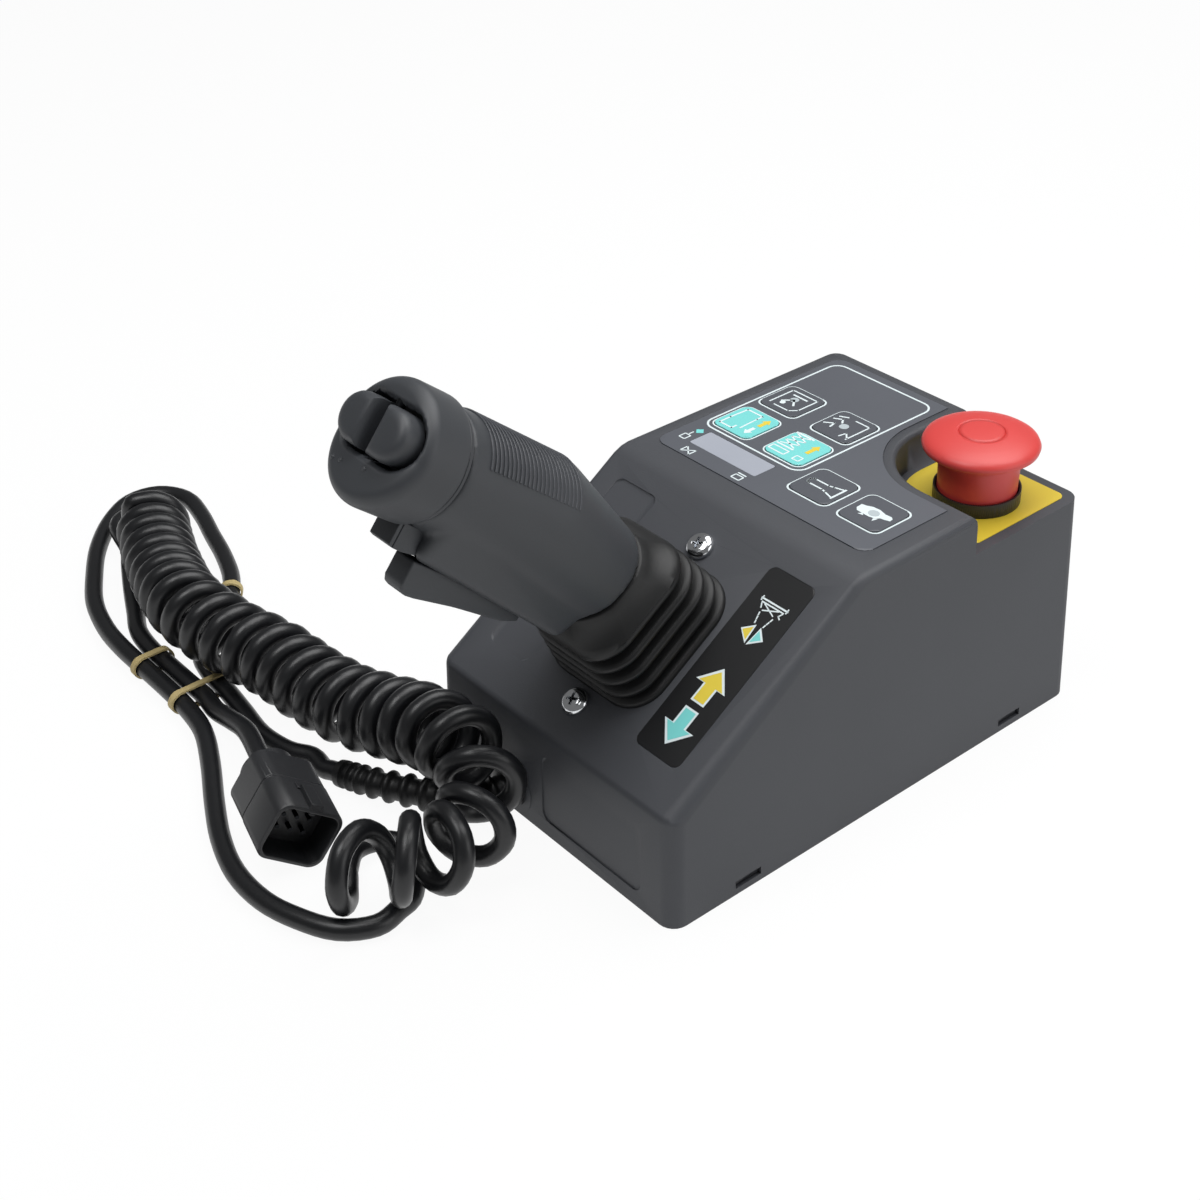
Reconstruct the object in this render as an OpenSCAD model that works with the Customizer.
// Control box of a scissor lift: wedge-shaped case with a joystick on its slope, a membrane
// keypad and display on top, an emergency stop in the stepped corner, and a curly cord with a
// keyed connector. Millimetres. The origin is the centre of the underside, +X runs from the low
// joystick end to the high end, -Y is the open side of the emergency stop's corner, +Z is up.

/* [Case] */
// Length of the case at its foot
case_l = 193; // [180:1:210]
// Width of the case at its foot
case_w = 122.8; // [118:0.1:140]
// Height of the high end
case_h = 96; // [90:1:110]
// Height of the low end
low_h = 41.9; // [38:0.1:48]
// Length of the slope seen from above
slope_run = 80.9; // [78:0.1:90]
// Wall thickness of the moulded shell
wall = 2.6; // [2:0.1:3.5]
// Lean of the walls, in millimetres for each millimetre of height
draft = 0.03; // [0.01:0.005:0.04]
// Radius of the upright corners
corner_r = 6; // [4:0.5:8]
// Radius along the upper edges
edge_r = 3; // [2:0.5:3.5]
// Radius of the bend between slope and top
break_r = 13; // [8:1:18]
// Thickness of the base plate
base_t = 2.2; // [1.8:0.1:2.6]
// Length of a snap window in the side walls
snap_l = 11.2; // [8:0.2:14]
// Height of a snap window
snap_h = 3; // [2.6:0.1:3.6]

/* [Emergency stop] */
// Diameter of the mushroom head
head_d = 40; // [36:0.5:42]
// Diameter of the red skirt under the head
skirt_d = 27.4; // [25:0.1:27.6]
// Outer diameter of the dark collar
collar_d = 30; // [29.8:0.1:32]
// Diameter of the panel hole
panel_hole_d = 22.4; // [22:0.1:24]
// Depth of the stepped corner below the top
step_depth = 14; // [12:0.5:16]
// Radius of the stepped corner round the stop
step_r = 28; // [26:0.5:30]
// Travel of the head when pressed
stop_travel = 3.6; // [3:0.1:3.7]
// Turn of the head that releases it, in degrees
stop_turn = 40; // [30:5:60]

/* [Keypad] */
// Length of the overlay along the case
pad_l = 92; // [88:1:96]
// Width of the overlay
pad_w = 101; // [98:0.5:104]
// Side of a square key
key_w = 17.6; // [16:0.1:18.4]
// Corner radius of a key
key_r = 3; // [2:0.5:4]
// Thickness of the overlay
pad_t = 0.8; // [0.6:0.1:1]
// Travel of a key
key_travel = 0.35; // [0.25:0.05:0.35]
// Width of the display window along the case
window_l = 10.4; // [9:0.1:11]
// Length of the display window across the case
window_w = 33; // [30:0.5:34]

/* [Joystick] */
// Distance of the stick's centre from the low end, measured along the slope
stick_s = 47.2; // [46:0.1:49]
// Height of the grip's bend above the slope
bend_h = 73; // [68:0.5:80]
// Lean of the upper grip from upright, in degrees
grip_lean = 50; // [46:1:54]
// Length from the bend to the cap's seam
grip_l = 47.8; // [44:0.1:52]
// Diameter of the grip
grip_d = 35.8; // [34:0.2:38]
// Diameter of the cap
cap_d = 39; // [38:0.2:41]
// Length of the cap
cap_l = 20; // [16:0.5:22]
// Height of the grip's lower rim above the slope
rim_h = 36; // [35:0.5:38]
// Diameter of the stick's shaft
shaft_d = 10; // [9:0.5:11]
// Stick travel each way, in degrees
stick_swing = 16; // [12:1:18]
// Trigger travel, in degrees
trigger_swing = 6; // [4:1:7]
// Rocker travel each way, in degrees
rocker_swing = 9; // [6:1:10]
// Distance between the two mounting screws
stick_screws = 65.4; // [65:0.1:70]

/* [Boot] */
// Length of the boot's foot along the slope
boot_l = 55; // [53:0.5:55]
// Width of the boot's foot
boot_w = 53; // [50:0.5:56]
// Number of ribs
boot_ribs = 4; // [3:1:5]
// Height of the top rib above the slope
boot_top_h = 26.5; // [25:0.5:28]
// Thickness of the boot's rubber
boot_t = 1.6; // [1.2:0.1:2]

/* [Cord] */
// Diameter of the cable
cable_d = 7.2; // [6:0.1:7.2]
// Outer diameter of the curls
curl_d = 30; // [28:0.5:30]
// Length of the connector from its rear to its mouth
plug_l = 39; // [36:1:42]
// Width of the connector's face
plug_w = 25; // [23:0.5:26]
// Height of the connector's face
plug_h = 22; // [20:0.5:23]
// Depth of the connector's socket
socket_depth = 16; // [14:0.5:18]
// Number of contact pins in each of the two rows
pins_row = 3; // [2:1:3]

/* [Hidden] */

// Overrun of every cut
over = 1;
// Gap between parts that rest on or slide past each other
slip = 0.3;
// Radial clearance of a shaft in its bore
bore_gap = 0.05;
// Facets of round shapes and of the children of a hull
$fn = 64;
hull_fn = 24;

// Case, worked out from its sizes
slope_a = atan((case_h - low_h) / slope_run);
low_x = -case_l / 2 + draft * low_h;
high_x = case_l / 2 - draft * case_h;
side_y = case_w / 2;
recess = 0.5;
// Centres of the rounded upper edges
low_edge_z = low_h - edge_r * (1 - sin(slope_a)) / cos(slope_a);
break_x = low_x + slope_run;
snap_z = 2.5;
snap_x = 63.6;
hook_t = 1.2;
hook_w = snap_l - 2 * slip;
// Base screws: places as shares of the foot
base_screw_shares = [[-0.464, -0.444], [-0.464, 0.444], [0.464, -0.444], [0.464, 0.444]];
base_screw_d = 3;
base_head_d = 5.6;
base_screw_l = 12;
boss_d = 10;
boss_h = 14;

// Emergency stop
stop_from_end = 29.3;
stop_from_side = 26.7;
stop_x = case_l / 2 - stop_from_end;
stop_y = -case_w / 2 + stop_from_side;
step_z = case_h - step_depth;
step_flare = 1.8;
plate_t = 0.25;
plate_r = 3;
plate_margin = 4;
collar_h = 5.2;
collar_wall = 0.8;
collar_foot = 0.5;
neck_d = panel_hole_d - 0.4 * slip;
neck_l = 22;
neck_bore_d = 15;
nut_d = 28;
nut_t = 4;
plunger_d = 9;
head_z = 103.5;
head_rim = 2.4;
head_top_z = 108.2;
ring_d = 15;
ring_depth = 0.35;
skirt_gap_z = step_z + plate_t + collar_foot + stop_travel + 0.5 * slip;
spring_z = step_z - neck_l + slip;
spring_h = 24;
block_l = 30;
block_w = 28;
block_h = 20;

// Keypad
pad_from_end = 54.5;
pad_x = case_l / 2 - pad_from_end;
pad_y = 1.2;
pad_r = 5;
pad_step_gap = 4.3;
pad_z = case_h - recess;
key_gap = 0.25;
key_float = 0.45;
// Places of the keys, measured from the middle of the overlay
key_offsets = [
    [-14.5, 36.6], [-14.5, 11], [8.2, 36.8], [8.2, 10.8], [-26.3, -12.9], [-26.4, -35.9]
];
key_places = [for (k = key_offsets) [pad_x + k[0], pad_y + k[1]]];
window_dx = -33.2;
window_dy = 24.2;
window_x = pad_x + window_dx;
window_y = pad_y + window_dy;

// Direction strip and its twin blank recess
strip_s = 15.2;
strip_l = 71.8;
strip_w = 20.5;
strip_from_side = 23.5;
strip_y = case_w / 2 - strip_from_side;
strip_r = 3;

// Strain relief: centre line from the low end wall to the cable
relief_route = [
    [-96.5, 20, 10.5], [-104, 20.5, 10.5], [-112, 25, 10.2], [-119, 34, 9.8], [-125, 45, 9],
    [-130, 56, 8], [-132.5, 64, 6.9], [-134, 69, 6.2]
];
relief_ribs = 13;
relief_d = 14.6;
relief_tip_d = 9.6;
relief_groove = 1.5;
gland_d = 12;
gland_pad_d = 20;
gland_pad_t = 3.6;
gland_nut_d = 18;
gland_nut_t = 4;
gland_nut_turn = 30;

// Circuit board
board_l = 78;
board_w = 46;
board_t = 1.6;
board_drop = 18;
board_dx = -2;
board_dy = 22.8;
board_z = case_h - board_drop;
board_x = pad_x + board_dx;
board_y = pad_y + board_dy;
pillar_d = 6;
pillar_inset = 4;
terminal_l = 10;
terminal_w = 20;
terminal_h = 9;
inner_cable_d = 6;
inner_end_x = board_x - board_l / 2 + terminal_l / 2 + pillar_d + over;
inner_start_x = -case_l / 2 + gland_pad_t + gland_nut_t + 0.9;
inner_route = [
    [inner_start_x, 20, 10.5], [inner_start_x + 4, 20, 10.5], [inner_start_x + 8, 20, 10.5],
    [-60, 22, 10], [-40, 26, 10], [-20, 30, 12], [0, 30, 20], [10, 27, 36], [13, 24.5, 52],
    [inner_end_x, board_y, board_z - terminal_h - 8],
    [inner_end_x, board_y, board_z - terminal_h - 4],
    [inner_end_x, board_y, board_z - terminal_h]
];

// Joystick, worked out from its sizes
flange_t = 3;
flange_l = 78;
flange_w = 60;
stick_hole_d = 42;
boot_corner = 14;
pivot_h = -9;
pin_d = 6;
ear_t = 4;
ear_gap = 15;
ear_w = 16;
ear_l = 52;
sensor_y = 19.5;
knuckle_d = 15;
screw_d = 5;
screw_head_d = 10;
screw_head_h = 3;
screw_l = 14;
skirt_r = 18;
grip_wall = 2.4;
hub_h = 12;
barrel_bore_l = 18;
shaft_top_h = 66;
cap_gap = 0.4;
cap_round = 3;
well_depth = 5;
well_l = 33;
well_w = 17;
well_x = 3;
lobe_r = 7.6;
lobe_y = 7.2;
lobe_h = 3.5;
groove_w = 4.4;
rocker_pin_d = 3;
rocker_pin_t = cap_l - 3.6;
rocker_pin_l = well_w + 4;
rocker_foot = 7.6;
rocker_drop = 3;
spigot_l = 4;

// Trigger, in the upper grip's own frame: t runs from the seam towards the cap, w downwards
trig_front_t = -11;
trig_back_t = -61;
trig_top_w = 26.6;
trig_tip_w = 37.4;
trig_mid_w = 35.4;
trig_tail_w = 34.4;
trig_half = 4.4;
trig_r = 1.6;
trig_pin_t = -15.5;
trig_pin_w = 21;
trig_pin_d = 3;
trig_knuckle_d = 7;
trig_slot_gap = 0.6;
housing_w = 26.4;
housing_half = 8;
nose_back = 9.2;
nose_front = 0.8;
nose_half = 5;
nose_w = 26;
trig_lift = 3.8;
trig_slot_w = 16.5;

// Boot
boot_foot_h = 2;
rib_h = (boot_top_h - boot_foot_h) / boot_ribs;
rib_deep = 3;
boot_neck_r = skirt_r - 0.5;
boot_bore_d = 34;
foot_share = [0.93, 0.9, 0.87, 0.84, 0.81];

// Cord: curls start at the low left and end at the far end; columns are x, y, z and turns
cable_r = cable_d / 2;
curl_r = (curl_d - cable_d) / 2;
curl_rings = 8;
curl_sides = 6;
cord_sides = 8;
curl_route = [
    [-169.7, 18.3, 16.8, -0.0625], [-160.5, 7.3, 21, 0.71], [-150.9, -0.1, 23.4, 1.46],
    [-138.5, -2.6, 22.5, 2.39], [-127, 0, 23, 3.2], [-117.6, 6.9, 27, 4.05],
    [-112.5, 18, 31.5, 4.9], [-112.9, 29.3, 32.7, 5.74], [-113.5, 42, 31, 6.9],
    [-116, 58, 27, 8.51], [-121, 77, 24, 10.4], [-124, 98, 23, 12.4], [-125.7, 120.7, 23, 14.6],
    [-130.4, 143.1, 22.9, 16.7], [-133, 170.8, 23.5, 19.3], [-126.2, 199.6, 20.7, 22.51],
    [-117.7, 224.7, 20.2, 25.65], [-111, 240.6, 20.7, 27.61], [-108.8, 247.4, 20.6, 28],
    [-105.5, 254, 20, 28]
];
// Straight stretch from the strain relief, under the curls, round the far end and back
loop_lay = [
    [-136, 84, 5.6], [-140, 93, 5], [-142, 108, 4.6], [-140, 124, 4.6], [-138, 140, 4.6],
    [-137, 154, 4.6], [-133, 167, 3.8], [-122, 180, 4.2], [-108, 190, 4.75], [-98, 204, 4.75],
    [-91, 222, 4.2], [-86, 240, 3.8], [-81, 258, 3.8], [-79, 274, 3.8], [-86, 286, 3.8],
    [-99, 288, 3.8], [-113, 279, 3.8], [-127, 263, 3.8], [-138, 245, 3.8], [-147, 227, 3.8],
    [-152, 208, 3.8], [-154, 190, 4.6], [-154, 172, 4.6], [-154, 155, 4.6], [-154.4, 140.7, 4.4],
    [-157, 124, 4.4], [-164, 107, 3.8], [-174, 87, 3.7], [-182, 69, 3.7], [-186.9, 51.1, 3.8],
    [-187, 34, 3.7], [-183.3, 19.3, 4.1], [-176.6, 6.5, 4.1], [-166, 0.1, 3.8], [-156.4, 1.7, 3.7],
    [-148.6, 4.9, 3.8], [-136.9, 20.8, 4.4], [-142.4, 31.9, 4.4], [-152.3, 32.7, 5.7]
];
// Straight tail from the far end of the curls to the connector
tail_lay = [
    [-102.5, 265.7, 8.4], [-108, 269.5, 9.4], [-116, 265, 9], [-119, 250.7, 6.2],
    [-123.7, 241.5, 3.9], [-131, 226, 3.8], [-138, 210, 3.8], [-144, 196, 4.6], [-146, 182, 4.6],
    [-146, 168, 4.6], [-146, 155, 4.6], [-146, 142, 4.8], [-148, 130, 6], [-148.5, 118, 9],
    [-149.9, 103.6, 12.6]
];
cord_steps = 2;
cord_lead = 4;

// Rubber bands: their section, the outer strands and place along Y of the two wide ones, and
// the place and turn of the ring on one strand
tie_w = 3.2;
tie_t = 0.7;
tie_gap = 0.4;
tie_z = 4.75;
tie_strands = [[-154.2, -137.7, 145], [-154, -146, 174]];
tie_ring = [-102.56, 196.5, -35.2];

// The cord lies as it is and follows the wall that it comes out of
cord_wall_x = -96.5;
low_shift = -case_l / 2 - cord_wall_x;

// Connector
plug_mouth = [-167, 41, 14.3];
plug_turn = 15;
plug_roll = 35;
plug_corner = 5;
plug_wall = 1.8;
plug_seam = 17;
plug_waist = 0.8;
seal_l = 6;
seal_d = 19;
pin_gap = 5;
pin_side = 1.5;
pin_l = 7;
insert_t = 5;
latch_w = 4.6;
latch_l = 12;
latch_t = 1.8;

// A block with upright rounded corners, standing on z = 0 and centred on the origin
module rounded_block(l, w, h, r) {
    translate([-l / 2 + r, -w / 2, 0]) cube([l - 2 * r, w, h]);
    translate([-l / 2, -w / 2 + r, 0]) cube([l, w - 2 * r, h]);
    for (x = [-1, 1], y = [-1, 1])
        translate([x * (l / 2 - r), y * (w / 2 - r), 0]) cylinder(r = r, h = h);
}

// Places children on the slope: x runs up the slope from the low edge, z is its normal
module on_slope(s = 0, h = 0) {
    translate([low_x, 0, low_h]) rotate([0, -slope_a, 0]) translate([s, 0, h]) children();
}

// Places children in the upper grip's frame: z runs out to the cap, x is the grip's back
module on_grip(t = 0) {
    on_slope(stick_s, bend_h) rotate([0, slope_a - grip_lean, 0])
        translate([0, 0, grip_l + t]) children();
}

// Places children in the connector's frame: z runs out of the mouth
module on_plug(t = 0) {
    translate(plug_mouth + [low_shift, 0, 0]) rotate([0, 0, -plug_turn]) rotate([90, 0, 0])
        rotate([0, 0, -plug_roll]) translate([0, 0, t]) children();
}

// Rounded wedge of the case, drawn in by an inset on every side but the open foot
module case_form(inset, foot = 0) {
    r = max(corner_r - inset, over);
    e = max(edge_r - inset, over / 2);
    hull() {
        for (y = [-1, 1]) {
            for (x = [-1, 1])
                translate([x * (case_l / 2 - inset - r), y * (side_y - inset - r), -foot])
                    cylinder(r = r, h = over / 2, $fn = hull_fn);
            translate([low_x + inset + r, y * (side_y - draft * low_edge_z - inset - r),
                low_edge_z - (inset - edge_r + e) / cos(slope_a)])
                edge_ring(r, e);
            translate([high_x - inset - r, y * (side_y - draft * case_h - inset - r),
                case_h - inset - e])
                edge_ring(r, e);
            translate([break_x, y * (side_y - draft * (case_h - break_r) - inset - e), case_h])
                rotate([0, -slope_a / 2, 0]) translate([0, 0, -break_r / cos(slope_a / 2)])
                    rotate([90, 0, 0]) edge_ring(break_r - inset, e);
        }
    }
}

// Ring whose outer radius is r and whose section is a circle of radius e
module edge_ring(r, e) {
    rotate_extrude($fn = hull_fn) translate([max(r - e, over / 10), 0])
        intersection() {
            circle(r = e, $fn = hull_fn / 2);
            translate([0, -e]) square([e, 2 * e]);
        }
    cylinder(r = max(r - e, over / 10), h = 2 * e, center = true, $fn = hull_fn);
}

// Stepped corner round the emergency stop, grown by a margin; its upper edge flares out
module step_form(grow, flare) {
    floor_z = step_z - grow;
    r = step_r + grow;
    far = case_l;
    translate([stop_x, stop_y, 0]) {
        translate([0, 0, floor_z]) cylinder(r = r, h = step_depth + grow + over);
        translate([-r, -far, floor_z]) cube([far, far, step_depth + grow + over]);
        translate([0, -far, floor_z]) cube([far, far + r, step_depth + grow + over]);
        if (flare > 0) {
            rotate_extrude() flare_profile(r, flare);
            rotate([90, 0, 0]) linear_extrude(far) mirror([1, 0]) flare_profile(r, flare);
            rotate([90, 0, 90]) linear_extrude(far) flare_profile(r, flare);
        }
    }
}

// Section of the rounded upper edge of the stepped corner
module flare_profile(r, flare) {
    difference() {
        translate([r - over, case_h - flare]) square([flare + over, flare + over]);
        translate([r + flare, case_h - flare]) circle(r = flare, $fn = hull_fn);
        translate([r + flare, case_h]) square([flare, over]);
    }
}

// Outline of the keypad overlay, drawn in by an inset and cut back from the stepped corner
module pad_form(inset, h) {
    difference() {
        translate([pad_x, pad_y, pad_z])
            rounded_block(pad_l - 2 * inset, pad_w - 2 * inset, h, pad_r - inset);
        translate([0, 0, over * 2]) step_form(pad_step_gap + inset, 0);
    }
}

// Shallow recesses of the slope
module strip_form(side, inset, h) {
    on_slope(strip_s + strip_l / 2, -recess)
        translate([0, side * strip_y, 0])
            rounded_block(strip_l - 2 * inset, strip_w - 2 * inset, h, strip_r - inset);
}

// Moulded shell of the case
module case_shell() {
    color("#33363a") difference() {
        union() {
            difference() {
                case_form(0);
                difference() {
                    case_form(wall, over);
                    step_form(wall, 0);
                }
            }
            for (p = base_screw_shares)
                translate([p[0] * case_l, p[1] * case_w, base_t])
                    cylinder(d = boss_d, h = boss_h);
            translate([-case_l / 2, relief_route[0][1], relief_route[0][2]])
                rotate([0, 90, 0]) cylinder(d = gland_pad_d, h = gland_pad_t);
        }
        step_form(0, step_flare);
        pad_form(0, recess + over);
        translate([window_x, window_y, pad_z - 2 * wall])
            rounded_block(window_l - 3 * over, window_w - 3 * over, 2 * wall + over, over);
        for (side = [-1, 1]) strip_form(side, 0, recess + over);
        on_slope(stick_s, -wall * 2) cylinder(d = stick_hole_d, h = wall * 3);
        for (x = [-1, 1])
            on_slope(stick_s + x * stick_screws / 2, -wall * 2)
                cylinder(d = screw_d + 2 * slip, h = wall * 3);
        translate([stop_x, stop_y, step_z - wall - over])
            cylinder(d = panel_hole_d, h = wall + 2 * over);
        for (x = [-1, 1])
            translate([x * snap_x, 0, snap_z + snap_h / 2])
                cube([snap_l, case_w + over, snap_h], center = true);
        translate([-case_l / 2 - over, relief_route[0][1], relief_route[0][2]])
            rotate([0, 90, 0]) cylinder(d = gland_d + 2 * slip, h = gland_pad_t + 2 * over);
        for (p = base_screw_shares)
            translate([p[0] * case_l, p[1] * case_w, 0])
                cylinder(d = base_screw_d, h = base_screw_l);
        end_panel();
    }
}

// Shallow panel in the low end wall
module end_panel() {
    panel_w = 50;
    panel_h = 27;
    panel_y = -21;
    panel_z = 6;
    panel_r = 4;
    translate([-case_l / 2 + draft * (panel_z + panel_h / 2) + recess, panel_y,
        panel_z + panel_h / 2])
        rotate([0, -90 + atan(draft), 0]) rotate([0, 0, 0])
            rounded_block(panel_h, panel_w, recess + over, panel_r);
}

// Plate that closes the foot, with four hooks that snap into the side windows
module base_plate() {
    gap = wall + slip;
    color("#2b2d30") difference() {
        union() {
            rounded_block(case_l - 2 * gap, case_w - 2 * gap, base_t, corner_r - wall);
            for (x = [-1, 1], y = [-1, 1])
                translate([x * snap_x, y * (case_w / 2 - gap - hook_t / 2 - slip), 0]) {
                    translate([-hook_w / 2, -hook_t / 2, 0])
                        cube([hook_w, hook_t, snap_z + snap_h]);
                    translate([-hook_w / 2, y * (hook_t / 2 + wall / 4) - wall / 2,
                        snap_z + slip])
                        cube([hook_w, wall, snap_h - 2 * slip]);
                }
        }
        for (p = base_screw_shares)
            translate([p[0] * case_l, p[1] * case_w, 0]) {
                translate([0, 0, -over]) cylinder(d = base_screw_d + slip, h = base_t + 2 * over);
                translate([0, 0, -over]) cylinder(d = base_head_d + slip, h = base_t / 2 + over);
            }
    }
}

// Screws of the base plate, heads sunk in the plate
module base_screws() {
    for (p = base_screw_shares)
        color("silver") translate([p[0] * case_l, p[1] * case_w, slip])
            difference() {
                union() {
                    cylinder(d = base_head_d, h = base_t / 2 - slip);
                    cylinder(d = base_screw_d - 2 * bore_gap, h = base_screw_l - slip - over);
                }
                translate([0, 0, -over]) cross_recess(base_head_d / 2, over + base_t / 4);
            }
}

// Cross recess of a screw, cut upwards from z = 0
module cross_recess(l, deep) {
    for (a = [0, 90])
        rotate([0, 0, a]) translate([-l / 2, -l / 8, 0]) cube([l, l / 4, deep]);
}

// Overlay of the keypad, with windows for the keys and the display
module keypad_overlay() {
    color("#1d1f22") difference() {
        pad_form(slip / 2, pad_t);
        for (p = key_places)
            translate([p[0], p[1], pad_z - over])
                rounded_block(key_w + 2 * key_gap, key_w + 2 * key_gap, pad_t + 2 * over,
                    key_r + key_gap);
        translate([window_x, window_y, pad_z - over])
            rounded_block(window_l, window_w, pad_t + 2 * over, over);
    }
}

// One key of the keypad
module key(i, shade) {
    color(shade) translate([key_places[i][0], key_places[i][1], pad_z + key_float])
        rounded_block(key_w, key_w, pad_t, key_r);
}

// Keys that raise the platform and that select driving
module lift_key() { key(0, "#6fcac6"); }
module drive_key() { key(1, "#6fcac6"); }
// Keys for the load and door functions
module load_key() { key(2, "#26282b"); }
module door_key() { key(3, "#26282b"); }
// Keys for the horn and slow travel
module horn_key() { key(4, "#26282b"); }
module slow_key() { key(5, "#26282b"); }

// Window over the display
module display_window() {
    color("#a9adb7") translate([window_x, window_y, pad_z])
        rounded_block(window_l - slip, window_w - slip, pad_t, over - slip / 2);
}

// Strip with the drive arrows, in its recess on the slope
module direction_strip() {
    color("#1c1d20") strip_form(-1, slip / 2, recess);
}

// Yellow plate on the floor of the stepped corner
module stop_plate() {
    plate_x = stop_x + (high_x - plate_margin - stop_x) / 2;
    x0 = stop_x - step_r + plate_margin;
    x1 = high_x - plate_margin + draft * step_depth;
    y0 = -side_y + draft * step_z + plate_margin;
    y1 = stop_y + step_r - plate_margin + over;
    color("#d9c646") translate([0, 0, step_z]) intersection() {
        translate([(x0 + x1) / 2, (y0 + y1) / 2, 0]) difference() {
            rounded_block(x1 - x0, y1 - y0, plate_t, plate_r);
            translate([stop_x - (x0 + x1) / 2, stop_y - (y0 + y1) / 2, -over])
                cylinder(d = panel_hole_d + slip, h = plate_t + 2 * over);
        }
        union() {
            translate([stop_x, stop_y, -over])
                cylinder(r = step_r - plate_margin + over, h = plate_t + 2 * over);
            translate([x0, y0, -over]) cube([x1 - x0, stop_y - y0, plate_t + 2 * over]);
            translate([stop_x, y0, -over]) cube([x1 - stop_x, y1 - y0, plate_t + 2 * over]);
        }
    }
}

// Dark collar of the emergency stop, with the neck that passes through the panel
module stop_collar() {
    foot_z = step_z + plate_t;
    color("#26282b") translate([stop_x, stop_y, 0]) difference() {
        union() {
            translate([0, 0, foot_z]) cylinder(d = collar_d, h = collar_h - plate_t);
            translate([0, 0, step_z - neck_l]) cylinder(d = neck_d, h = neck_l + plate_t + over / 10);
        }
        translate([0, 0, foot_z + collar_foot])
            cylinder(d = collar_d - 2 * collar_wall, h = collar_h);
        translate([0, 0, step_z - neck_l - over]) cylinder(d = neck_bore_d, h = neck_l + 2 * over);
    }
}

// Ring nut that clamps the collar to the panel from inside
module stop_nut() {
    color("silver") translate([stop_x, stop_y, step_z - wall - nut_t]) difference() {
        cylinder(d = nut_d, h = nut_t, $fn = 6);
        translate([0, 0, -over]) cylinder(d = neck_d + 2 * bore_gap, h = nut_t + 2 * over);
    }
}

// Red mushroom head with its skirt and hub
module stop_head() {
    hub_d = plunger_d + 3;
    flare_z = head_z - head_rim - 2;
    r = head_d / 2;
    s = skirt_d / 2;
    color("#c23a38") translate([stop_x, stop_y, 0]) difference() {
        union() {
            rotate_extrude() polygon([
                [0, skirt_gap_z], [s, skirt_gap_z], [s, skirt_gap_z + head_rim],
                [s + slip, flare_z], [s + head_rim, head_z - head_rim],
                [r - head_rim, head_z - head_rim], [r - slip, head_z - head_rim / 2],
                [r, head_z], [r - slip, head_z + head_rim / 4],
                for (i = [1 : 8]) let (a = 90 * i / 8)
                    [(r - slip) * cos(a), head_z + head_rim / 4
                        + (head_top_z - head_z - head_rim / 4) * sin(a)],
                [0, head_top_z]
            ]);
        }
        difference() {
            translate([0, 0, skirt_gap_z - over])
                cylinder(d = skirt_d - 2 * collar_wall, h = head_z - head_rim - skirt_gap_z);
            translate([0, 0, skirt_gap_z - over]) cylinder(d = hub_d, h = head_d);
        }
        translate([0, 0, skirt_gap_z - over])
            cylinder(d = plunger_d + 2 * bore_gap, h = head_z - skirt_gap_z - head_rim);
        translate([0, 0, head_top_z - ring_depth * 3]) difference() {
            cylinder(d = ring_d + over, h = head_rim);
            cylinder(d = ring_d, h = head_rim);
        }
    }
}

// Plunger that the head turns on, sliding in the collar's neck
module stop_plunger() {
    foot_z = step_z - neck_l - over;
    top_z = head_z - head_rim - over - slip;
    color("#4a4d52") translate([stop_x, stop_y, 0]) {
        translate([0, 0, foot_z]) cylinder(d = plunger_d, h = top_z - foot_z);
        translate([0, 0, step_z - collar_foot])
            cylinder(d = neck_bore_d - 2 * slip, h = collar_foot + over);
    }
}

// Return spring round the plunger, resting on the contact block's deck
module stop_spring() {
    foot_z = step_z - neck_l + slip;
    color("silver") translate([stop_x, stop_y, foot_z]) difference() {
        cylinder(d = neck_bore_d - 4 * slip, h = neck_l - collar_foot - 2 * slip);
        translate([0, 0, -over]) cylinder(d = plunger_d + 2 * slip, h = neck_l + over);
    }
}

// Contact block under the neck, with the deck the plunger passes through
module contact_block() {
    top_z = step_z - neck_l;
    deep = stop_travel + 2 * over;
    color("#c9c4b4") translate([stop_x, stop_y, top_z - block_h]) difference() {
        rounded_block(block_l, block_w, block_h, over);
        translate([0, 0, block_h - deep - over]) cylinder(d = plunger_d + 2 * slip, h = deep + 2 * over);
        for (y = [-1, 1])
            translate([0, y * block_w / 4, -over]) cylinder(d = base_screw_d, h = block_h / 3);
    }
}

// Circuit board under the keypad
module circuit_board() {
    color("#2f6b45") translate([board_x, board_y, board_z]) difference() {
        rounded_block(board_l, board_w, board_t, over);
        board_corners() translate([0, 0, -over]) cylinder(d = base_screw_d + slip, h = board_t + 2 * over);
    }
}

// Places children at the four corners of the board
module board_corners() {
    for (x = [-1, 1], y = [-1, 1])
        translate([x * (board_l / 2 - pillar_inset), y * (board_w / 2 - pillar_inset), 0])
            children();
}

// Pillars between the shell's roof and the board
module board_pillars() {
    color("#c8b06a") translate([board_x, board_y, board_z + board_t]) board_corners()
        difference() {
            cylinder(d = pillar_d, h = case_h - wall - board_z - board_t, $fn = 6);
            translate([0, 0, -over]) cylinder(d = base_screw_d, h = base_screw_l / 2 + over);
        }
}

// Screws that hold the board to its pillars
module board_screws() {
    color("silver") translate([board_x, board_y, board_z]) board_corners() {
        translate([0, 0, -base_t / 2]) cylinder(d = base_head_d, h = base_t / 2);
        cylinder(d = base_screw_d - 2 * bore_gap, h = base_screw_l / 2);
    }
}

// Display module on the board, under the window
module display_module() {
    color("#3c3f45") translate([window_x + window_l / 4, window_y, board_z + board_t])
        rounded_block(window_l, window_w - pillar_d, case_h - wall - board_z - board_t - over, over);
}

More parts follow.
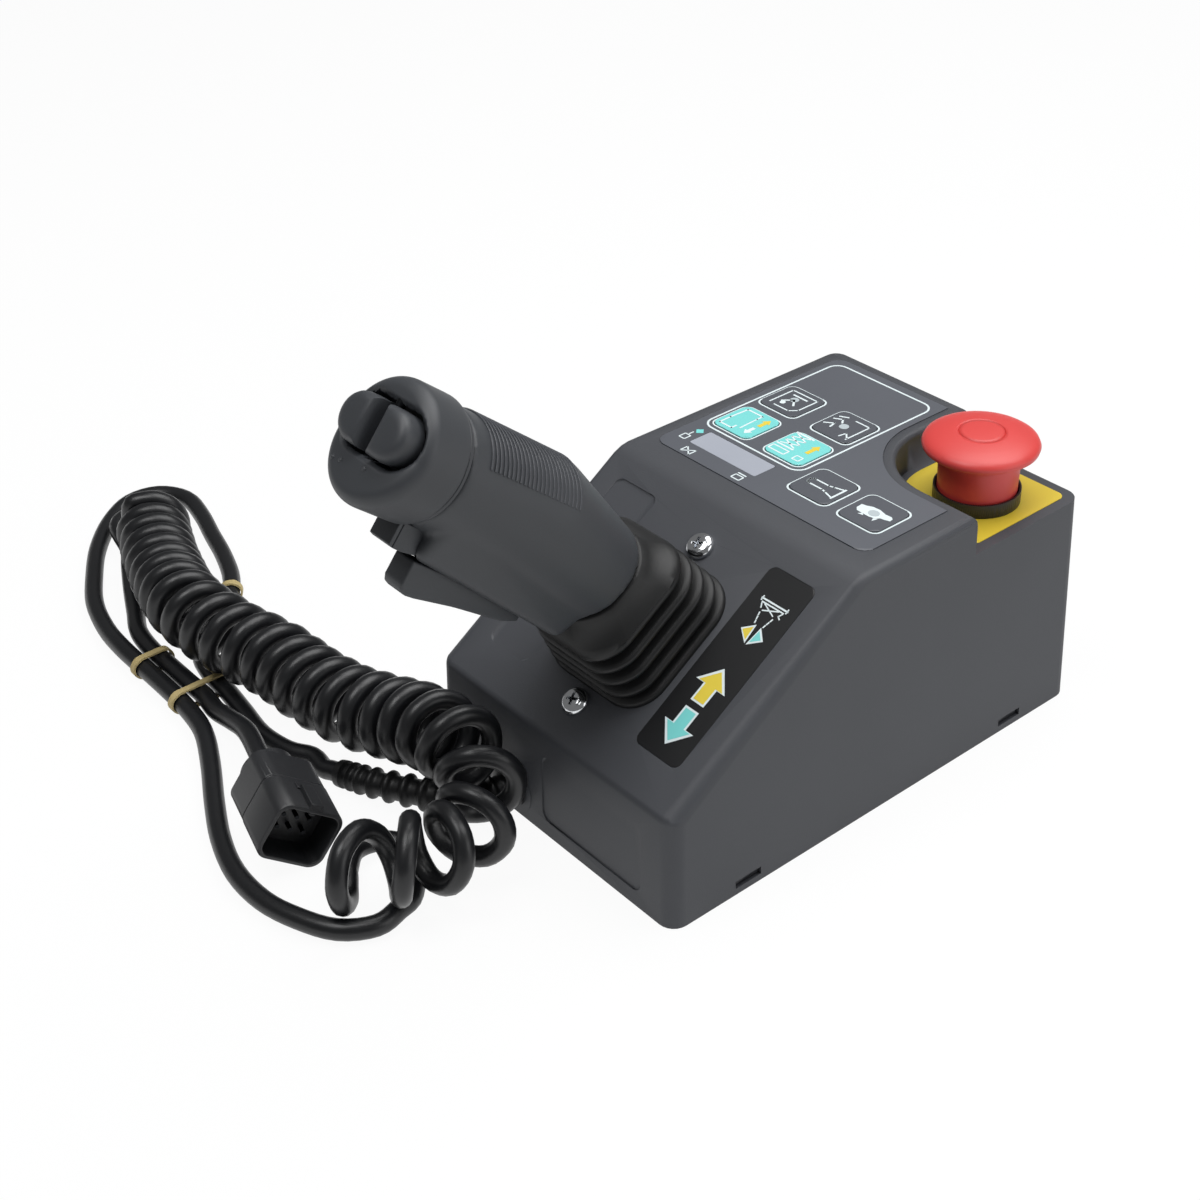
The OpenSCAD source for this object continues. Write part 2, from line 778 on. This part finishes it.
// Buzzer on the board
module buzzer() {
    buzzer_d = 14;
    buzzer_h = 8;
    color("#222222") translate([board_x, board_y, board_z + board_t]) difference() {
        cylinder(d = buzzer_d, h = buzzer_h);
        translate([0, 0, buzzer_h - over]) cylinder(d = base_screw_d, h = 2 * over);
    }
}

// Terminal block under the board, where the inner cable ends
module terminal_block() {
    block_x = board_x - board_l / 2 + terminal_l / 2 + pillar_d + over;
    color("#3f7f5a") translate([block_x, board_y, board_z - terminal_h]) difference() {
        rounded_block(terminal_l, terminal_w, terminal_h, over);
        translate([terminal_l / 4, 0, -over]) cylinder(d = base_screw_d, h = terminal_h / 2);
    }
}

// Cable inside the case, from the gland to the terminal block
module inner_cable() {
    p = smooth(inner_route, cord_steps);
    color("#17181a")
        tube(p, [for (q = p) inner_cable_d / 2], [for (q = p) [0, 1, 0]], cord_sides);
}

// Flange of the joystick, under the slope
module stick_flange() {
    color("#8c9094") on_slope(stick_s, -wall - flange_t) difference() {
        rounded_block(flange_l, flange_w, flange_t - bore_gap, corner_r);
        translate([0, 0, -over]) cylinder(d = stick_hole_d - 2 * over, h = flange_t + 2 * over);
        for (x = [-1, 1])
            translate([x * stick_screws / 2, 0, -over])
                cylinder(d = screw_d + 2 * slip, h = flange_t + 2 * over);
    }
}

// Pan-head screws with cross recesses, through the slope and the flange
module stick_screws_m5() {
    for (x = [-1, 1])
        color("silver") on_slope(stick_s + x * stick_screws / 2, 0) difference() {
            union() {
                rotate_extrude() polygon([
                    [0, 0], [screw_head_d / 2, 0], [screw_head_d / 2, screw_head_h / 3],
                    for (i = [1 : 6]) let (a = 90 * i / 6)
                        [screw_head_d / 2 * cos(a), screw_head_h / 3
                            + screw_head_h * 2 / 3 * sin(a)]
                ]);
                translate([0, 0, -screw_l]) cylinder(d = screw_d, h = screw_l);
            }
            translate([0, 0, screw_head_h / 2]) cross_recess(screw_head_d / 2, screw_head_h);
        }
}

// Nuts of the two joystick screws
module flange_nuts() {
    nut_w = screw_d * 1.8;
    nut_h = screw_d * 0.8;
    for (x = [-1, 1])
        color("silver") on_slope(stick_s + x * stick_screws / 2, -wall - flange_t - nut_h)
            difference() {
                cylinder(d = nut_w, h = nut_h, $fn = 6);
                translate([0, 0, -over]) cylinder(d = screw_d + 2 * bore_gap, h = nut_h + 2 * over);
            }
}

// Cheeks that carry the pivot pin, hanging from the flange across its hole
module bearing_ears() {
    drop = -pivot_h - wall - flange_t;
    color("#8c9094") for (y = [-1, 1])
        on_slope(stick_s, -wall - flange_t) difference() {
            translate([-ear_l / 2, y > 0 ? ear_gap / 2 : -ear_gap / 2 - ear_t, -drop - ear_w / 2])
                cube([ear_l, ear_t, drop + ear_w / 2]);
            translate([0, -case_w / 2, -drop]) rotate([-90, 0, 0])
                cylinder(d = pin_d + 2 * bore_gap, h = case_w);
        }
}

// Pin that the stick swings on
module pivot_pin() {
    color("silver") on_slope(stick_s, pivot_h) rotate([90, 0, 0])
        cylinder(d = pin_d, h = 2 * sensor_y, center = true);
}

// Shaft of the stick with its knuckle round the pin
module stick_shaft() {
    color("#b0b4b8") on_slope(stick_s, 0) difference() {
        union() {
            translate([0, 0, pivot_h]) cylinder(d = shaft_d, h = shaft_top_h - pivot_h);
            translate([0, 0, pivot_h]) rotate([90, 0, 0])
                cylinder(d = knuckle_d, h = ear_gap - 2 * slip, center = true);
        }
        translate([0, 0, pivot_h]) rotate([90, 0, 0])
            cylinder(d = pin_d + 2 * bore_gap, h = ear_gap + over, center = true);
    }
}

// Springs that bring the stick back to its centre, round the pin outside the ears
module centring_springs() {
    spring_d = pin_d + 5;
    spring_l = 6;
    color("silver") for (y = [-1, 1])
        on_slope(stick_s, pivot_h)
            translate([0, y * (ear_gap / 2 + ear_t + spring_l / 2), 0])
                rotate([90, 0, 0]) difference() {
                    cylinder(d = spring_d, h = spring_l, center = true);
                    cylinder(d = pin_d + 2 * slip, h = spring_l + over, center = true);
                }
}

// Angle sensor beside the far spring
module angle_sensor() {
    sensor_w = 18;
    sensor_t = 8;
    color("#2a2c30") on_slope(stick_s, -wall - flange_t - sensor_w / 2)
        translate([0, sensor_y, 0])
            rotate([-90, 0, 0]) rounded_block(sensor_w, sensor_w, sensor_t, over);
}

// Ribbed rubber boot: a foot, ribs in steps, and a shoulder up to the grip
module boot() {
    color("#1b1c1e") on_slope(stick_s, 0) difference() {
        union() {
            rounded_block(boot_l, boot_w, boot_foot_h, boot_corner);
            for (i = [0 : boot_ribs - 1]) {
                share = foot_share[min(i, len(foot_share) - 1)];
                z = boot_foot_h + i * rib_h;
                translate([0, 0, z])
                    rounded_block(boot_l * share - 2 * rib_deep, boot_w * share - 2 * rib_deep,
                        rib_h, boot_corner - rib_deep);
                translate([0, 0, z + rib_h / 2])
                    rounded_block(boot_l * share, boot_w * share, rib_h / 2, boot_corner - over);
            }
            translate([0, 0, boot_top_h])
                cylinder(r1 = boot_w * foot_share[3] / 2 - over, r2 = boot_neck_r,
                    h = rim_h - boot_top_h - slip);
        }
        translate([0, 0, -over])
            cylinder(d = boot_bore_d, h = boot_top_h + over);
        translate([0, 0, boot_top_h - over])
            cylinder(d1 = boot_bore_d, d2 = 2 * (boot_neck_r - boot_t),
                h = rim_h - boot_top_h + 2 * over);
    }
}

// Outer form of the grip: barrel and neck, then the trigger housing
module grip_form() {
    e = edge_r;
    hull() {
        on_grip(-cap_gap - over) cylinder(r = grip_d / 2, h = over, $fn = hull_fn);
        on_grip(-grip_l) sphere(r = skirt_r + slip, $fn = hull_fn);
        on_slope(stick_s, rim_h) cylinder(r = skirt_r, h = over, $fn = hull_fn);
    }
    hull() {
        for (y = [-1, 1]) {
            for (t = [-nose_back - edge_r, -grip_l * 0.8])
                on_grip(t) translate([-housing_w + edge_r, y * (housing_half - edge_r), 0])
                    sphere(r = e, $fn = hull_fn / 2);
            on_grip(-nose_back - edge_r) translate([-grip_d / 4, y * grip_d / 3, 0])
                sphere(r = e, $fn = hull_fn / 2);
            on_slope(stick_s - skirt_r - edge_r, rim_h + edge_r)
                translate([0, y * skirt_r / 2.5, 0]) sphere(r = e, $fn = hull_fn / 2);
            on_slope(stick_s, rim_h + edge_r) translate([0, y * skirt_r / 1.5, 0])
                sphere(r = e, $fn = hull_fn / 2);
        }
    }
}

// One half of the grip; side is -1 or 1 along Y
module grip_half(side) {
    big = case_l;
    difference() {
        grip_form();
        translate([-big, side > 0 ? slip / 6 - big : -slip / 6, 0]) cube([big, big, big]);
        on_slope(stick_s, rim_h - over)
            cylinder(d = shaft_d + 2 * bore_gap, h = shaft_top_h - rim_h + 2 * over);
        on_grip(-barrel_bore_l) cylinder(r = grip_d / 2 - grip_wall, h = barrel_bore_l);
        trigger_slot();
        grip_screw_places() translate([0, 0, -big / 2]) cylinder(d = base_screw_d, h = big);
        on_grip(trig_pin_t) translate([-trig_pin_w, 0, 0]) rotate([90, 0, 0])
            cylinder(d = trig_pin_d + 2 * bore_gap, h = grip_d, center = true);
    }
}

// Slot in the housing that the trigger swings in
module trigger_slot() {
    long = trig_front_t - trig_back_t;
    on_grip(trig_back_t - 2 * over)
        translate([-case_h / 2 - trig_slot_w, -trig_half - trig_slot_gap, 0])
            cube([case_h / 2, 2 * (trig_half + trig_slot_gap), long + 4 * over]);
}

module grip_left() { color("#2c2e31") grip_half(-1); }
module grip_right() { color("#2c2e31") grip_half(1); }

// Places children along Y at the grip's three screws
module grip_screw_places() {
    for (p = [[-24, 5], [-40, 9]])
        on_grip(p[0]) translate([p[1], 0, 0]) rotate([-90, 0, 0]) children();
    on_slope(stick_s + skirt_r / 1.6, rim_h + hub_h / 2) rotate([-90, 0, 0]) children();
}

// Screws that join the two halves of the grip
module grip_screws() {
    color("#3a3c40") grip_screw_places() translate([0, 0, -skirt_r / 2])
        cylinder(d = base_screw_d - 2 * bore_gap, h = skirt_r);
}

// Cap at the end of the grip, with the nose piece and the well of the rocker
module grip_cap() {
    r = cap_d / 2;
    barrel_r = grip_d / 2;
    color("#34363a") difference() {
        union() {
            difference() {
                on_grip(0) rotate_extrude() polygon([
                    [0, 0], [r - slip, 0], [r, slip], [r, cap_l - 2 * cap_round],
                    for (i = [1 : 6]) let (a = 90 * i / 6)
                        [r - cap_round + cap_round * cos(a),
                            cap_l - 2 * cap_round + cap_round * sin(a)],
                    [r / 2, cap_l - cap_round / 2], [0, cap_l]
                ]);
                on_grip(-over) cylinder(r = r - grip_wall, h = cap_l - well_depth - 2 * grip_wall);
            }
            on_grip(-spigot_l) difference() {
                cylinder(r = barrel_r - grip_wall - slip, h = spigot_l + grip_wall);
                translate([0, 0, -over])
                    cylinder(r = barrel_r - 2 * grip_wall, h = spigot_l + grip_wall + 2 * over);
            }
            on_grip(0) difference() {
                cylinder(r = r - over, h = grip_wall / 2);
                translate([0, 0, -over])
                    cylinder(r = barrel_r - 2 * grip_wall, h = grip_wall + over);
            }
            on_grip(0) translate([0, nose_half, 0]) rotate([90, 0, 0])
                linear_extrude(2 * nose_half) polygon([
                    [-r + grip_wall, over / 2], [-barrel_r - slip, over / 2],
                    [-barrel_r - slip, -nose_back], [-nose_w + over / 2, -nose_back],
                    [-nose_w, -nose_back / 2], [-nose_w + over / 2, nose_front],
                    [-r - over, nose_front], [-r, grip_wall],
                    [-r + grip_wall, grip_wall]
                ]);
        }
        on_grip(cap_l - well_depth - cap_round / 2) translate([well_x, 0, 0])
            rounded_block(well_w, well_l, well_depth + cap_round, well_w / 2 - over);
        on_grip(rocker_pin_t) translate([well_x, 0, 0]) rotate([0, 90, 0])
            cylinder(d = rocker_pin_d + 2 * bore_gap, h = rocker_pin_l + slip, center = true);
        on_grip(over) translate([well_x, 0, 0])
            rounded_block(rocker_foot + 2 * slip, groove_w * 2, cap_l, over);
    }
}

// Thumb rocker: two lobes with a groove between them, on a bridge
module thumb_rocker() {
    base_t0 = rocker_pin_t + over;
    top_t0 = cap_l + lobe_h;
    color("#3b3d41") on_grip(0) translate([well_x, 0, 0]) difference() {
        union() {
            for (y = [-1, 1]) intersection() {
                translate([0, y * lobe_y, base_t0]) cylinder(r = lobe_r, h = top_t0 - base_t0);
                translate([-lobe_r, y > 0 ? groove_w / 2 : -lobe_r * 2 - groove_w / 2, base_t0])
                    cube([2 * lobe_r, 2 * lobe_r, top_t0 - base_t0]);
            }
            translate([-lobe_r + over, -lobe_y, base_t0])
                cube([2 * lobe_r - 2 * over, 2 * lobe_y, cap_l - base_t0]);
            translate([-rocker_foot / 2, -groove_w / 1.5, rocker_pin_t - rocker_drop])
                cube([rocker_foot, groove_w * 1.3, rocker_drop + 2 * over]);
        }
        translate([0, 0, rocker_pin_t]) rotate([0, 90, 0])
            cylinder(d = rocker_pin_d + 2 * bore_gap, h = well_w * 2, center = true);
    }
}

// Pin of the rocker, held in the cap
module rocker_pin() {
    color("silver") on_grip(rocker_pin_t) translate([well_x, 0, 0]) rotate([0, 90, 0])
        cylinder(d = rocker_pin_d, h = rocker_pin_l, center = true);
}

// Switch body under the rocker, against the underside of the well
module rocker_switch() {
    switch_l = 18;
    switch_w = 12;
    switch_h = 12;
    top = cap_l - well_depth - 2 * grip_wall - over;
    color("#1f2124") on_grip(top - switch_h) difference() {
        translate([well_x / 2, 0, 0]) rounded_block(switch_w, switch_l, switch_h, over);
        translate([well_x, 0, switch_h - rocker_drop])
            rounded_block(rocker_foot + over, groove_w * 2, rocker_drop + over, over);
    }
}

// Trigger lever under the grip, hinged behind the nose
module trigger() {
    f = trig_front_t;
    b = trig_back_t;
    color("#2a2c2f") on_grip(0) difference() {
        translate([0, trig_half, 0]) rotate([90, 0, 0]) linear_extrude(2 * trig_half) union() {
            translate([-trig_pin_w, trig_pin_t]) circle(d = trig_knuckle_d);
            polygon([
                [-trig_top_w, f], [-trig_tip_w + 2 * trig_r, f],
                [-trig_tip_w + trig_r / 2, f - trig_r], [-trig_tip_w, f - 3 * trig_r],
                [-trig_tip_w, f - 4 * trig_r], [-trig_mid_w, f - 15 * trig_r],
                [-trig_tail_w, b + 4 * trig_r], [-trig_tail_w + trig_r, b],
                [-trig_top_w - over, b], [-trig_top_w + over, trig_pin_t - trig_knuckle_d],
                [-trig_pin_w, trig_pin_t - trig_knuckle_d / 2],
                [-trig_pin_w, trig_pin_t + trig_knuckle_d / 2],
                [-trig_top_w, f - trig_r]
            ]);
        }
        translate([-trig_pin_w, 0, trig_pin_t]) rotate([90, 0, 0])
            cylinder(d = trig_pin_d + 2 * bore_gap, h = grip_d, center = true);
    }
}

// Pin of the trigger, in both halves of the grip
module trigger_pin() {
    color("silver") on_grip(trig_pin_t) translate([-trig_pin_w, 0, 0]) rotate([90, 0, 0])
        cylinder(d = trig_pin_d, h = 2 * (trig_half + grip_wall), center = true);
}

// Switch that the trigger works, between the walls of its slot
module trigger_switch() {
    switch_l = 18;
    switch_h = 5;
    color("#1f2124") on_grip(trig_pin_t - trig_knuckle_d - switch_l)
        translate([-trig_top_w + trig_lift, -trig_half - trig_slot_gap, 0]) difference() {
            cube([switch_h, 2 * (trig_half + trig_slot_gap), switch_l]);
            translate([switch_h / 2, -over, switch_l / 4]) rotate([-90, 0, 0])
                cylinder(d = over, h = grip_d);
        }
}

// Point on a smooth curve through a route, f along the stretch after point i
function along(p, i, f) =
    let (a = p[max(i - 1, 0)], b = p[i], c = p[i + 1], d = p[min(i + 2, len(p) - 1)])
    (2 * b + (c - a) * f + (2 * a - 5 * b + 4 * c - d) * f * f
        + (3 * b - a - 3 * c + d) * f * f * f) / 2;

// Route with extra points between each pair
function smooth(p, steps) = [
    for (i = [0 : len(p) - 2], k = [0 : steps - 1]) along(p, i, k / steps),
    p[len(p) - 1]
];

function unit(v) = v / norm(v);

// Direction of a line of points at point i
function heading(p, i) = unit(p[min(i + 1, len(p) - 1)] - p[max(i - 1, 0)]);

// Points of rings round a line; each ring's first point lies along its reference
function ring_points(p, radii, refs, sides) = [
    for (i = [0 : len(p) - 1])
        let (d = heading(p, i), u = unit(refs[i] - (refs[i] * d) * d), v = cross(d, u))
        for (k = [0 : sides - 1])
            let (a = 360 * k / sides) p[i] + radii[i] * (cos(a) * u + sin(a) * v)
];

// Triangles of a closed tube of rings
function tube_faces(rings, sides) = concat(
    [for (i = [0 : rings - 2], k = [0 : sides - 1])
        let (a = i * sides + k, b = i * sides + (k + 1) % sides) [a, a + sides, b]],
    [for (i = [0 : rings - 2], k = [0 : sides - 1])
        let (a = i * sides + k, b = i * sides + (k + 1) % sides) [b, a + sides, b + sides]],
    [for (k = [1 : sides - 2]) [0, k, k + 1]],
    [for (k = [1 : sides - 2])
        let (e = (rings - 1) * sides) [e, e + k + 1, e + k]]
);

// Tube along a line of points
module tube(p, radii, refs, sides) {
    polyhedron(points = ring_points(p, radii, refs, sides),
        faces = tube_faces(len(p), sides));
}

// Tube of the cable along a route that lies on the floor
module cable(route) {
    p = smooth(route, cord_steps);
    tube(p, [for (q = p) cable_r], [for (q = p) [0, 0, 1]], cord_sides);
}

// Centre line of the curls: the axis through the route and a radius that turns round it
curl_axis = [for (q = curl_route) [q[0], q[1], q[2]]];
curl_turns = [for (q = curl_route) q[3]];
curl_count = max(curl_turns);

function turn_at(i, f) =
    let (a = curl_turns[max(i - 1, 0)], b = curl_turns[i], c = curl_turns[i + 1],
        d = curl_turns[min(i + 2, len(curl_turns) - 1)])
    min(max((2 * b + (c - a) * f + (2 * a - 5 * b + 4 * c - d) * f * f
        + (3 * b - a - 3 * c + d) * f * f * f) / 2, b), c);

// Rings in each stretch of the route: eight for each curl
function stretch_rings(i) = max(2, round((curl_turns[i + 1] - curl_turns[i]) * curl_rings));

curl_marks = concat(
    [for (i = [0 : len(curl_route) - 2], k = [0 : stretch_rings(i) - 1])
        let (f = k / stretch_rings(i)) [along(curl_axis, i, f), turn_at(i, f)]],
    [[curl_axis[len(curl_axis) - 1], curl_turns[len(curl_turns) - 1]]]
);
curl_line = [for (m = curl_marks) m[0]];

// Outward direction of the cable from the curl's axis at mark i; a whole turn points down
function curl_out(i) =
    let (d = heading(curl_line, i), side = unit(cross([0, 0, 1], d)), up = cross(d, side),
        a = 360 * curl_marks[i][1])
    -cos(a) * up - sin(a) * side;

curl_centre = [for (i = [0 : len(curl_line) - 1]) curl_line[i] + curl_r * curl_out(i)];

// Least gap between turns, measured from each ring to those about a turn further on
curl_gap = min([
    for (i = [0 : len(curl_centre) - curl_rings - 4], k = [curl_rings - 3 : curl_rings + 3])
        norm(curl_centre[i] - curl_centre[i + k]) - cable_d
]);
echo(curl_count = curl_count, curl_rings = len(curl_centre), curl_gap = curl_gap);

module cord_curls() {
    color("#17181a") translate([low_shift, 0, 0]) tube(curl_centre, [for (q = curl_centre) cable_r],
        [for (i = [0 : len(curl_centre) - 1]) curl_out(i)], curl_sides);
}

// Three points that run straight into an end, and three that leave one
function lead_in(end, d) = [end - 2 * cord_lead * d, end - cord_lead * d, end];
function lead_out(end, d) = [end, end + cord_lead * d, end + 2 * cord_lead * d];

curl_last = len(curl_centre) - 1;
relief_last = len(relief_route) - 1;
plug_dir = [-sin(plug_turn), -cos(plug_turn), 0];
loop_route = concat(
    lead_out(relief_route[relief_last],
        unit(relief_route[relief_last] - relief_route[relief_last - 1])),
    loop_lay,
    lead_in(curl_centre[0], unit(curl_centre[1] - curl_centre[0]))
);
tail_route = concat(
    lead_out(curl_centre[curl_last], unit(curl_centre[curl_last] - curl_centre[curl_last - 1])),
    tail_lay,
    [plug_mouth - (plug_l + 2 * cord_lead) * plug_dir, plug_mouth - (plug_l + cord_lead) * plug_dir,
        plug_mouth - (plug_l - cord_lead) * plug_dir, plug_mouth - socket_depth * plug_dir]
);

module cord_loop() {
    color("#17181a") translate([low_shift, 0, 0]) cable(loop_route);
}

module cord_tail() {
    color("#17181a") translate([low_shift, 0, 0]) cable(tail_route);
}

// Ribbed strain relief that bends away from the low end wall
module strain_relief() {
    steps = 8;
    p = smooth(relief_route, steps);
    n = len(p) - 1;
    color("#17181a") translate([low_shift, 0, 0]) tube(p, [
        for (i = [0 : n])
            let (full = relief_d + (relief_tip_d - relief_d) * i / n,
                wave = i * relief_ribs / n - floor(i * relief_ribs / n),
                ends = i < 3 || i > n - 6)
            full / 2 - (ends || wave < 0.5 ? 0 : relief_groove)
    ], [for (q = p) [0, 0, 1]], 12);
    color("#17181a") translate([-case_l / 2 - over / 10, relief_route[0][1], relief_route[0][2]])
        rotate([0, 90, 0]) cylinder(d = gland_d, h = gland_pad_t + gland_nut_t + over);
}

// Nut that holds the strain relief inside the low end wall
module cord_gland_nut() {
    color("silver") translate([-case_l / 2 + gland_pad_t, relief_route[0][1], relief_route[0][2]])
        rotate([0, 90, 0]) rotate([0, 0, gland_nut_turn]) difference() {
            cylinder(d = gland_nut_d, h = gland_nut_t, $fn = 6);
            translate([0, 0, -over])
                cylinder(d = gland_d + 2 * bore_gap, h = gland_nut_t + 2 * over);
        }
}

// One rubber band: a ring round a list of circles [x, z, radius], at a place along Y
module band(circles, y) {
    translate([0, y + tie_w / 2, 0]) rotate([90, 0, 0]) linear_extrude(tie_w) difference() {
        hull() for (c = circles)
            translate([c[0], c[1]]) circle(r = c[2] + tie_gap + tie_t, $fn = hull_fn);
        hull() for (c = circles)
            translate([c[0], c[1]]) circle(r = c[2] + tie_gap, $fn = hull_fn);
    }
}

// Rubber bands round the cord
module cord_ties() {
    color("#b3a271") {
        for (s = tie_strands)
            translate([low_shift, 0, 0]) band([[s[0], tie_z, cable_r], [s[1], tie_z, cable_r]], s[2]);
        translate([low_shift + tie_ring[0], tie_ring[1], 0]) rotate([0, 0, tie_ring[2]])
            band([[0, tie_z, cable_r]], 0);
    }
}

// Body of the connector, with its socket, seam and latch
module plug_body() {
    color("#202225") on_plug(-plug_l + seal_l) difference() {
        union() {
            rounded_block(plug_w - 2 * plug_waist, plug_h - 2 * plug_waist, plug_l - seal_l - over,
                plug_corner - plug_waist);
            translate([0, 0, plug_l - seal_l - plug_seam])
                rounded_block(plug_w, plug_h, plug_seam, plug_corner);
            translate([0, plug_h / 2 - over, plug_l - seal_l - latch_l])
                translate([-latch_w / 2, 0, 0]) cube([latch_w, latch_t + over, latch_l]);
        }
        translate([0, 0, plug_l - seal_l - socket_depth])
            rounded_block(plug_w - 2 * plug_wall, plug_h - 2 * plug_wall, socket_depth + over,
                plug_corner - plug_wall);
        translate([0, 0, -over]) cylinder(d = cable_d + 4 * slip, h = plug_l);
    }
}

// Nut at the connector's rear that squeezes the seal on the cable
module plug_seal_nut() {
    color("#202225") on_plug(-plug_l) difference() {
        rotate_extrude() polygon([
            [0, 0], [seal_d / 2 - over, 0], [seal_d / 2, over],
            [seal_d / 2, seal_l - slip], [0, seal_l - slip]
        ]);
        translate([0, 0, -over]) cylinder(d = cable_d + slip, h = seal_l + 2 * over);
    }
}

// Insert at the bottom of the socket that carries the pins
module plug_insert() {
    color("#3a3d42") on_plug(-socket_depth) difference() {
        rounded_block(plug_w - 2 * plug_wall - slip, plug_h - 2 * plug_wall - slip, insert_t,
            plug_corner - plug_wall - slip / 2);
        pin_places() translate([0, 0, -over])
            cylinder(d = pin_side + 2 * bore_gap, h = insert_t + 2 * over);
    }
}

// Places children at the contact pins
module pin_places() {
    for (i = [0 : pins_row - 1], y = [-1, 1])
        translate([(i - (pins_row - 1) / 2) * pin_gap, y * pin_gap / 2, 0]) children();
}

// Contact pins
module plug_pins() {
    color("silver") on_plug(-socket_depth) pin_places()
        cylinder(d = pin_side, h = insert_t + pin_l / 2);
}

case_shell();
base_plate();
base_screws();
keypad_overlay();
lift_key();
drive_key();
load_key();
door_key();
horn_key();
slow_key();
display_window();
direction_strip();
stop_plate();
stop_collar();
stop_nut();
stop_head();
stop_plunger();
stop_spring();
contact_block();
circuit_board();
board_pillars();
board_screws();
display_module();
buzzer();
stick_flange();
stick_screws_m5();
flange_nuts();
bearing_ears();
pivot_pin();
stick_shaft();
centring_springs();
angle_sensor();
boot();
grip_left();
grip_right();
grip_screws();
grip_cap();
thumb_rocker();
rocker_pin();
rocker_switch();
trigger();
trigger_pin();
trigger_switch();
inner_cable();
terminal_block();
cord_gland_nut();
strain_relief();
cord_loop();
cord_curls();
cord_tail();
cord_ties();
plug_seal_nut();
plug_body();
plug_insert();
plug_pins();
